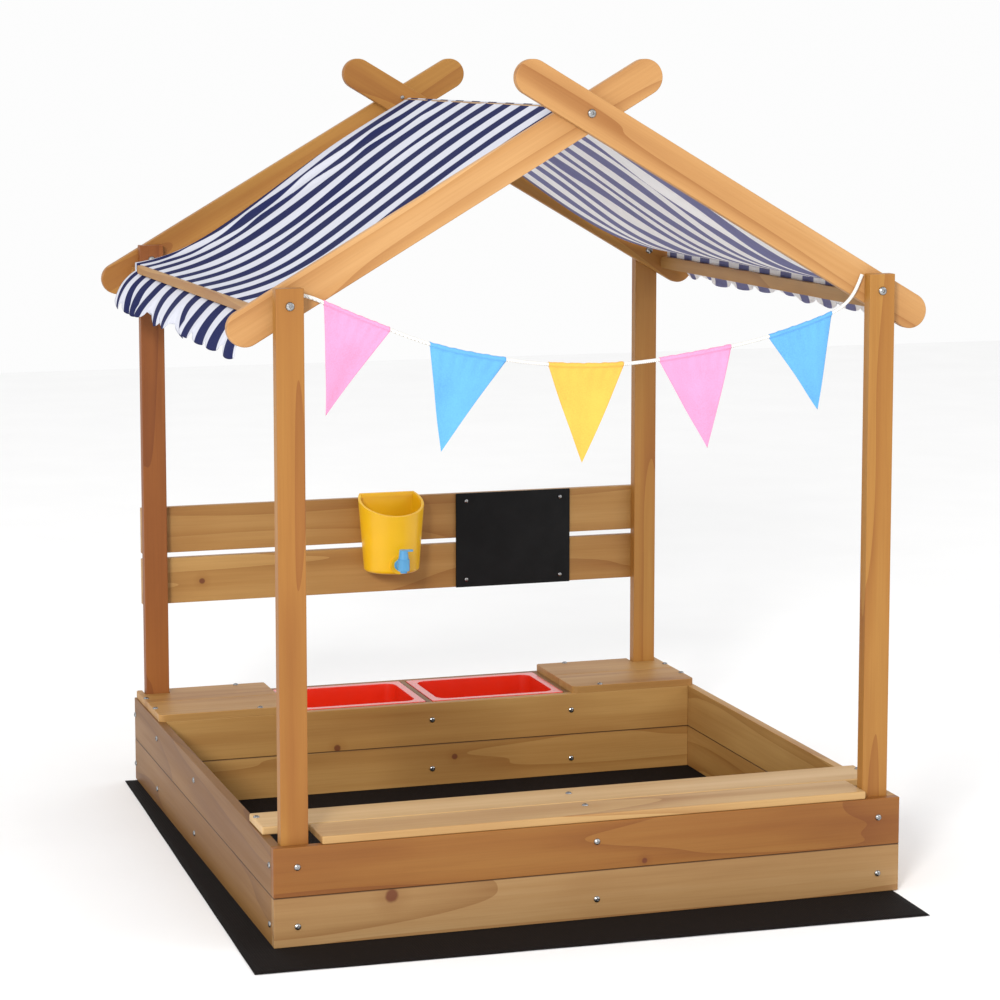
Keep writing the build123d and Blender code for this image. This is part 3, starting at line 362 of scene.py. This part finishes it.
# ---- plastics, metal, board ----
def plastic(name, colour, roughness, coat):
    shade = Shade(name)
    place = shade.place()
    cloud = shade.noise(place, 14.0, 4.0)
    deep = tuple(channel * 0.9 for channel in colour[:3]) + (1.0,)
    shade.colour(shade.mix(cloud, deep, colour))
    shade.roughness(shade.spread(shade.noise(place, 60.0, 2.0), 0.3, 0.7, roughness, roughness + 0.08))
    shade.set(Coat_Weight=coat, Coat_Roughness=0.08, Subsurface_Weight=0.05, Subsurface_Scale=0.01)
    shade.bump(shade.noise(place, 900.0, 2.0), 0.04, 0.0002)
    return shade.material


def steel(name):
    shade = Shade(name)
    place = shade.place()
    smudge = shade.noise(place, 320.0, 3.0)
    grey = shade.ramp(smudge, [(0.3, srgb(150, 150, 150)), (0.7, srgb(190, 190, 190))])
    # painted shade: the steel turns dark grey where it is seen edge-on, standing in for a dark reflection
    painted_dark_rim = shade.add("LayerWeight")
    painted_dark_rim.inputs["Blend"].default_value = 0.4
    shade.colour(shade.mix(painted_dark_rim.outputs["Facing"], grey, srgb(62, 62, 64)))
    shade.roughness(shade.spread(smudge, 0.3, 0.7, 0.18, 0.34))
    shade.set(Metallic=1.0)
    shade.bump(shade.noise(place, 1500.0, 2.0), 0.05, 0.0001)
    return shade.material


def board_black(name):
    """A matt writing surface with faint dust and specks."""
    shade = Shade(name)
    place = shade.place()
    dust = shade.noise(place, 22.0, 5.0)
    colour = shade.ramp(dust, [(0.35, srgb(13, 13, 14)), (0.75, srgb(20, 20, 21))])
    speck = shade.spread(shade.cells(place, 120.0), 0.03, 0.09, 0.35, 0.0)
    shade.colour(shade.mix(speck, colour, srgb(60, 60, 61)))
    shade.set(Roughness=0.7, Specular_IOR_Level=0.2)
    shade.bump(shade.noise(place, 700.0, 3.0), 0.12, 0.0002)
    return shade.material


def rubber(name):
    shade = Shade(name)
    place = shade.place()
    shade.colour(shade.ramp(shade.noise(place, 80.0), [(0.3, srgb(18, 18, 18)), (0.7, srgb(34, 34, 34))]))
    shade.set(Roughness=0.8)
    shade.bump(shade.noise(place, 900.0), 0.2, 0.0002)
    return shade.material


def paint_hardware():
    red = plastic("red_plastic", srgb(220, 42, 18), 0.16, 0.4)
    yellow = plastic("yellow_plastic", srgb(246, 190, 8), 0.34, 0.12)
    blue = plastic("blue_plastic", srgb(92, 172, 224), 0.32, 0.12)
    metal = steel("bright_steel")
    plan = {
        "basin_left": red, "basin_right": red, "bucket": yellow, "tap_body": blue,
        "tap_lever": blue, "tap_nut": blue, "tap_washer": rubber("seal_rubber"),
        "writing_board": board_black("writing_surface"), "wood_screws": metal,
        "panel_screws": metal, "roof_bolts": metal, "roof_nuts": metal, "eave_pins": metal,
    }
    for node, material in plan.items():
        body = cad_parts[node]
        body.data.materials.clear()
        body.data.materials.append(material)


# ---- cloth materials ----
def weave_height(shade, place, pitch):
    """The height of a plain weave of two crossed threads, from the object's own place."""
    axes = shade.axes(place)
    per_metre = 2 * math.pi / pitch
    first, second, third = (
        shade.math("SINE", shade.math("MULTIPLY", axes[name], per_metre)) for name in ("X", "Y", "Z")
    )
    return shade.math("ADD", shade.math("MULTIPLY", first, second), shade.math("MULTIPLY", first, third))


def canvas_material(name, blue, white):
    """Woven stripes that follow the cloth's own length."""
    shade = Shade(name)
    uv = shade.add("UVMap", uv_map="cloth")
    place = shade.place()
    waver = shade.spread(shade.noise(place, 30.0, 2.0), 0.0, 1.0, -0.0012, 0.0012)
    along = shade.math("ADD", shade.axes(uv.outputs["UV"])["X"], waver)
    shifted = shade.math("SUBTRACT", along, FIRST_STRIPE - STRIPE_PERIOD / 2)
    share = shade.math("FRACT", shade.math("DIVIDE", shifted, STRIPE_PERIOD))
    off_centre = shade.math("ABSOLUTE", shade.math("SUBTRACT", share, 0.5))
    half = STRIPE_WIDTH / STRIPE_PERIOD / 2
    in_stripe = shade.spread(off_centre, half - 0.012, half + 0.012, 1.0, 0.0)
    slub = shade.noise(shade.mapped(place, scale=(40, 900, 40)), 1.0, 2.0)
    cloud = shade.noise(place, 6.0, 3.0)
    blues = shade.ramp(slub, [(0.3, tuple(c * 0.8 for c in blue[:3]) + (1,)), (0.7, blue)])
    whites = shade.ramp(slub, [(0.3, tuple(c * 0.93 for c in white[:3]) + (1,)), (0.7, white)])
    striped = shade.mix(in_stripe, whites, blues)
    shade.colour(shade.mix(shade.spread(cloud, 0.3, 0.7, 0.0, 0.05), striped, srgb(120, 120, 135)))
    shade.set(Roughness=0.9, Specular_IOR_Level=0.12)
    threads = weave_height(shade, place, CANVAS_THREAD)
    shade.bump(shade.math("ADD", threads, shade.math("MULTIPLY", slub, 0.8)), 0.25, 0.0003)
    return shade.material


def plain_cloth(name, colour):
    shade = Shade(name)
    place = shade.place()
    slub = shade.noise(shade.mapped(place, scale=(500, 60, 500)), 1.0, 2.0)
    cloud = shade.noise(place, 18.0, 3.0)
    deep = tuple(c * 0.82 for c in colour[:3]) + (1,)
    varied = shade.ramp(slub, [(0.3, deep), (0.65, colour)])
    pale = tuple(min(1.0, c * 1.12) for c in colour[:3]) + (1,)
    shade.colour(shade.mix(shade.spread(cloud, 0.3, 0.7, 0.0, 0.5), varied, pale))
    shade.set(Roughness=0.8, Specular_IOR_Level=0.2, Sheen_Weight=0.15)
    shade.bump(weave_height(shade, place, FLAG_THREAD), 0.25, 0.0002)
    return shade.material


def ground_cloth(name):
    """Black woven tape cloth with small grey specks of dust."""
    shade = Shade(name)
    place = shade.place()
    tape = weave_height(shade, place, GROUND_TAPE)
    # painted shade: the weave's low places are painted darker and its raised tapes lighter
    weave_shaded_base = shade.ramp(shade.spread(tape, -1.0, 1.0), [(0.2, srgb(14, 11, 10)), (0.8, srgb(24, 19, 18))])
    speck = shade.spread(shade.cells(place, 160.0), 0.05, 0.12, 0.6, 0.0)
    chance = shade.spread(shade.noise(place, 70.0, 2.0), 0.5, 0.62)
    shade.colour(shade.mix(shade.math("MULTIPLY", speck, chance), weave_shaded_base, srgb(96, 92, 92)))
    shade.set(Roughness=0.85, Specular_IOR_Level=0.12)
    shade.bump(tape, 0.35, 0.0006)
    return shade.material


# ---- mesh helpers ----
def add_mesh(name, vertices, faces, uvs=None):
    mesh = bpy.data.meshes.new(name)
    mesh.from_pydata(vertices, [], faces)
    if uvs is not None:
        layer = mesh.uv_layers.new(name="cloth")
        for loop in mesh.loops:
            layer.data[loop.index].uv = uvs[loop.vertex_index]
    for polygon in mesh.polygons:
        polygon.use_smooth = True
    piece = bpy.data.objects.new(name, mesh)
    bpy.context.collection.objects.link(piece)
    return piece


def grid_faces(columns, rows):
    faces = []
    for column in range(columns - 1):
        for row in range(rows - 1):
            first = column * rows + row
            faces.append((first, first + rows, first + rows + 1, first + 1))
    return faces


def thicken(piece, thickness, back_slot=0):
    solid = piece.modifiers.new("thickness", "SOLIDIFY")
    solid.thickness = thickness
    solid.offset = 0.0
    solid.material_offset = back_slot


# ---- cord ----
def make_cord():
    curve = bpy.data.curves.new("bunting_line", "CURVE")
    curve.dimensions = "3D"
    spline = curve.splines.new("NURBS")
    spline.points.add(len(CORD_ROUTE) - 1)
    for point, place in zip(spline.points, CORD_ROUTE):
        point.co = (*place, 1.0)
    spline.order_u = 3
    spline.use_endpoint_u = True
    spline.resolution_u = 12
    curve.bevel_depth = CORD_DIAMETER / 2
    curve.bevel_resolution = 4
    curve.use_fill_caps = True
    line = bpy.data.objects.new("bunting_line", curve)
    bpy.context.collection.objects.link(line)
    shade = Shade("cord_textile")
    place = shade.place()
    twist = shade.add("TexWave", wave_type="BANDS", bands_direction="DIAGONAL")
    twist.inputs["Scale"].default_value = 150.0
    shade.put(place, twist.inputs["Vector"])
    # painted shade: the darker bands stand for shade in the grooves between the twisted strands
    shade.colour(shade.ramp(twist.outputs["Fac"], [(0.1, srgb(190, 188, 182)), (0.6, srgb(240, 240, 236))]))
    shade.set(Roughness=0.85, Sheen_Weight=0.2)
    shade.bump(twist.outputs["Fac"], 0.5, 0.0006)
    curve.materials.append(shade.material)
    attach(line, "frame")
    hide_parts("bunting_cord")
    return line


def cord_points(line):
    """Places along the cord's middle, close together."""
    plain = line.data.copy()
    plain.bevel_depth = 0.0
    plain.use_fill_caps = False
    temporary = bpy.data.objects.new("line_read", plain)
    bpy.context.collection.objects.link(temporary)
    mesh = bpy.data.meshes.new_from_object(temporary)
    points = [vertex.co.copy() for vertex in mesh.vertices]
    bpy.data.objects.remove(temporary)
    return sorted(points, key=lambda point: point.x)


def height_on(points, x):
    """The cord's place at an x."""
    for before, after in zip(points, points[1:]):
        if before.x <= x <= after.x:
            share = (x - before.x) / max(after.x - before.x, 1e-9)
            return before.lerp(after, share)
    return points[-1].copy()


# ---- pennants ----
PENNANT_COLUMNS = 41
PENNANT_ROWS = 33
PENNANT_THICKNESS = 0.0006
SLEEVE_ROWS = 12
SLEEVE_GAP = 0.0009


def node_tip(node):
    """The lowest place of a CAD flag."""
    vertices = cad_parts[node].data.vertices
    return min((vertex.co for vertex in vertices), key=lambda place: place.z).copy()


def make_pennant(node, phase, points, cloth):
    """A three-cornered flag with a sleeve that the cord runs through."""
    low, high = (Vector(corner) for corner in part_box(node))
    tip = node_tip(node)
    vertices = []
    sleeve = CORD_DIAMETER / 2 + SLEEVE_GAP
    for column in range(PENNANT_COLUMNS):
        across = column / (PENNANT_COLUMNS - 1)
        top = height_on(points, low.x + (high.x - low.x) * across)
        pucker = 0.0004 * math.sin(phase * 5 + 31 * across) + 0.0003 * math.sin(phase + 57 * across)
        for row in range(SLEEVE_ROWS):
            angle = math.radians(-80 + 330 * row / SLEEVE_ROWS)
            vertices.append(top + Vector((0, sleeve * math.cos(angle), (sleeve + pucker) * math.sin(angle))))
        start = top + Vector((0, sleeve * math.cos(math.radians(250)), sleeve * math.sin(math.radians(250))))
        for row in range(PENNANT_ROWS):
            down = (row / (PENNANT_ROWS - 1)) ** 1.15
            place = start.lerp(tip, down)
            middle = (across - 0.5) * 2 * (1 - down)
            swell = math.sin(math.pi * down) * 0.006 * math.cos(phase + 2.2 * across)
            fold = 0.0024 * math.sin(phase * 3 + 7.0 * middle + 2.0 * down) * down
            gather = 0.0016 * math.sin(phase * 2 + 38 * across) * math.exp(-9 * down) * min(1.0, down * 30)
            place.y -= swell + fold + gather
            vertices.append(place)
    faces = grid_faces(PENNANT_COLUMNS, SLEEVE_ROWS + PENNANT_ROWS)
    piece = add_mesh(node.replace("pennant", "flag"), vertices, faces)
    weld = bmesh.new()
    weld.from_mesh(piece.data)
    bmesh.ops.remove_doubles(weld, verts=weld.verts, dist=1e-5)
    weld.to_mesh(piece.data)
    weld.free()
    thicken(piece, PENNANT_THICKNESS)
    piece.data.materials.append(cloth)
    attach(piece, "frame")
    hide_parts(node)


def make_bunting():
    line = make_cord()
    points = cord_points(line)
    cloths = {
        "pink_cloth": plain_cloth("pink_cloth", srgb(240, 150, 192)),
        "light_blue_cloth": plain_cloth("light_blue_cloth", srgb(98, 168, 228)),
        "yellow_cloth": plain_cloth("yellow_cloth", srgb(234, 180, 78)),
    }
    for node, slot, phase in PENNANTS:
        make_pennant(node, phase, points, cloths[slot])


# ---- canvas roof ----
ROOF_COLUMNS = 221
ROOF_ROWS = 61
HEM_ROWS = 15
CLAMP_ROWS = 3
SAG = 0.036
EAVE_PUCKERS = 21
# the cloth's own length along the ridge, and how it is crowded towards the rear at the eave
CLOTH_START = -0.062
CLOTH_RUN = 1.134
CROWDING = 0.045
CROWDING_FROM = 0.82
# long folds at the left and at the right: depth, place on the ridge, place on the slat, width
ROOF_FOLDS = {
    -1: [(0.010, 0.84, 0.985, 0.014), (0.007, 0.71, 0.93, 0.012), (0.005, 0.50, 0.62, 0.02)],
    1: [(-0.008, 0.30, 0.12, 0.02), (-0.006, 0.62, 0.75, 0.02)],
}
PETAL_LENGTH = 0.091
NOTCH_LENGTH = 0.067
# how far the hem's petals reach outwards and down, at the left and at the right eave
PETAL_REACH = {-1: (0.053, 0.073), 1: (0.050, 0.044)}


def roof_facts():
    """The places that the canvas has to pass, from the CAD nodes."""
    pole_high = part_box("ridge_pole")[1]
    slat_low, slat_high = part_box("eave_slat_right")
    beam_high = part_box("eave_beam_right")[1]
    canopy_low, canopy_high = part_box("canopy")
    return {
        "ridge_z": pole_high[2] + 0.0009,
        "eave_x": (slat_low[0] + beam_high[0]) / 2,
        "slat_top": slat_high[2],
        "slat_bottom": slat_low[2],
        "front": canopy_low[1],
        "rear": canopy_high[1],
    }


def canvas_length_at(eave_share, along):
    """The cloth's own length (for its stripes) where it lies at a share of the front-to-back run."""
    ridge = CLOTH_START + CLOTH_RUN * along
    behind = max(0.0, (along - CROWDING_FROM) / (1 - CROWDING_FROM))
    crowded = CLOTH_RUN * along + CROWDING * behind ** 1.5
    return ridge + (crowded - ridge) * eave_share


def crease(along, share, start, end, width):
    """One long fold that runs from a place on the ridge to a place on the slat."""
    off = (along - start - (end - start) * share) / width
    return math.exp(-off * off) * math.sin(math.pi * min(1.0, share * 1.05)) ** 0.7


def canvas_point(facts, side, share, along):
    """The roof cloth at a share of the way from ridge to slat, and along the ridge."""
    y = facts["front"] + (facts["rear"] - facts["front"]) * along
    x = facts["eave_x"] * share
    z = facts["ridge_z"] + (facts["slat_top"] - facts["ridge_z"]) * share
    slack = math.sin(math.pi * share ** 2.1)
    belly = math.sin(math.pi * share)
    corner = 1 - 0.45 * max(0.0, 1 - along / 0.05)
    waves = (
        0.0030 * math.sin(9.0 * along + 2.0 * share + side)
        + 0.0026 * math.sin(23.0 * along - 3.0 * share + 1.3 * side)
        + 0.0040 * noise.noise(Vector((x * 5, y * 8, side * 3.0)))
    )
    puckers = 0.0016 * math.sin(2 * math.pi * EAVE_PUCKERS * along + side) * share ** 8 * (1 - share) * 9
    z += -SAG * slack * corner + waves * belly + puckers
    folds = sum(depth * crease(along, share, *course) for depth, *course in ROOF_FOLDS[side])
    if side < 0:
        y -= 0.5 * folds
    z += folds
    y += 0.005 * math.sin(5.0 * share + 11.0 * along) * belly
    return (side * x, y, z)


def petal_edge(length_at):
    """How long the hem hangs at a place along the cloth: a row of round petals."""
    share = ((length_at - FIRST_STRIPE - STRIPE_PERIOD / 2) / STRIPE_PERIOD) % 1.0
    across = abs(2 * share - 1)
    return NOTCH_LENGTH + (PETAL_LENGTH - NOTCH_LENGTH) * math.sqrt(max(0.0, 1 - across ** 2.2))


def hem_point(facts, side, hang, along, petal):
    """A place on the hanging hem: it leaves the slat outwards and curves down."""
    y = facts["front"] + (facts["rear"] - facts["front"]) * along
    share = hang / PETAL_LENGTH
    chance = random.Random(petal * 7 + (3 if side < 0 else 11))
    free = max(0.0, share - 0.35) / 0.65
    lift = chance.uniform(-0.22, 0.20) * free
    twist = chance.uniform(-0.12, 0.12) * free
    reach_out, reach_down = PETAL_REACH[side]
    out = reach_out * (1 - (1 - share) ** 1.5) * (1 + lift)
    down = reach_down * share ** 1.2 * (1 - 0.45 * lift)
    ripple = 0.0035 * math.sin(57 * along + side) * share
    return (side * (facts["eave_x"] + out + ripple), y + twist * hang, facts["slat_bottom"] - down)


def make_canvas():
    facts = roof_facts()
    vertices = []
    uvs = []
    rows = 2 * (ROOF_ROWS + CLAMP_ROWS + HEM_ROWS) - 1
    for column in range(ROOF_COLUMNS):
        along = column / (ROOF_COLUMNS - 1)
        strip = []
        for side in (-1, 1):
            half = []
            for row in range(ROOF_ROWS):
                share = row / (ROOF_ROWS - 1)
                if row == 0 and side > 0:
                    continue
                half.append((canvas_point(facts, side, share, along), canvas_length_at(share, along)))
            y = facts["front"] + (facts["rear"] - facts["front"]) * along
            at_eave = canvas_length_at(1.0, along)
            for row in range(1, CLAMP_ROWS + 1):
                z = facts["slat_top"] + (facts["slat_bottom"] - facts["slat_top"]) * row / CLAMP_ROWS
                half.append(((side * facts["eave_x"], y, z), at_eave))
            petal = math.floor((at_eave - FIRST_STRIPE) / STRIPE_PERIOD + 0.5)
            full = petal_edge(at_eave)
            for row in range(1, HEM_ROWS + 1):
                hang = full * row / HEM_ROWS
                half.append((hem_point(facts, side, hang, along, petal), at_eave))
            strip = half[::-1] if side < 0 else strip + half
        run = 0.0
        before = None
        for place, length_at in strip:
            if before is not None:
                run += (Vector(place) - Vector(before)).length
            before = place
            vertices.append(place)
            uvs.append((length_at, run))
    piece = add_mesh("canvas_roof", vertices, grid_faces(ROOF_COLUMNS, rows), uvs)
    piece.data.flip_normals()
    top = canvas_material("canvas_top", srgb(26, 33, 82), srgb(206, 208, 219))
    # painted light: the underside is the same striped cloth painted paler, standing in for light shining
    # through the canvas
    painted_backlit_under = canvas_material("canvas_under_painted_backlight", srgb(128, 130, 172), srgb(252, 253, 255))
    piece.data.materials.append(top)
    piece.data.materials.append(painted_backlit_under)
    thicken(piece, CANVAS_THICKNESS, 1)
    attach(piece, "frame")
    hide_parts("canopy")


# ---- ground cloth ----
GROUND_STEPS = 90
GROUND_THICKNESS = 0.0008


def make_ground_cloth():
    """The black cloth, flat below the box and slightly wavy outside it."""
    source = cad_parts["ground_sheet"].data.vertices
    places = [vertex.co for vertex in source]
    corners = [
        min(places, key=lambda place: place.x + place.y), min(places, key=lambda place: place.y - place.x),
        max(places, key=lambda place: place.x + place.y), max(places, key=lambda place: place.y - place.x),
    ]
    low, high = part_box("front_board_lower")[0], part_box("rear_board_lower")[1]
    half_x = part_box("front_board_lower")[1][0]
    vertices = []
    for column in range(GROUND_STEPS):
        across = column / (GROUND_STEPS - 1)
        near = corners[0].lerp(corners[1], across)
        far = corners[3].lerp(corners[2], across)
        for row in range(GROUND_STEPS):
            place = near.lerp(far, row / (GROUND_STEPS - 1))
            outside = max(abs(place.x) - half_x, low[1] - place.y, place.y - high[1])
            wave = max(0.0, min(1.0, outside / 0.03))
            lift = 0.0022 * wave * (0.5 + 0.5 * noise.noise(Vector((place.x * 9, place.y * 9, 0.4))))
            vertices.append((place.x, place.y, GROUND_THICKNESS / 2 + lift))
    piece = add_mesh("ground_cloth", vertices, grid_faces(GROUND_STEPS, GROUND_STEPS))
    thicken(piece, GROUND_THICKNESS)
    piece.data.materials.append(ground_cloth("ground_fabric"))
    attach(piece, "frame")
    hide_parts("ground_sheet")


def make_floor():
    corners = [(x * FLOOR_HALF, y * FLOOR_HALF, 0) for x, y in ((-1, -1), (1, -1), (1, 1), (-1, 1))]
    floor = add_mesh("floor", corners, [(0, 1, 2, 3)])
    floor.location.z = -FLOOR_DROP
    shade = Shade("studio_floor")
    grain = shade.noise(shade.place(), 3.0)
    shade.colour(shade.ramp(grain, [(0.0, (0.90, 0.90, 0.90, 1)), (1.0, (0.94, 0.94, 0.94, 1))]))
    shade.set(Roughness=0.8, Specular_IOR_Level=0.05)
    floor.data.materials.append(shade.material)


make_camera()
make_bunting()
make_world()
for lamp in LIGHTS:
    make_light(*lamp)
make_floor()
paint_wood()
paint_hardware()
make_canvas()
make_ground_cloth()
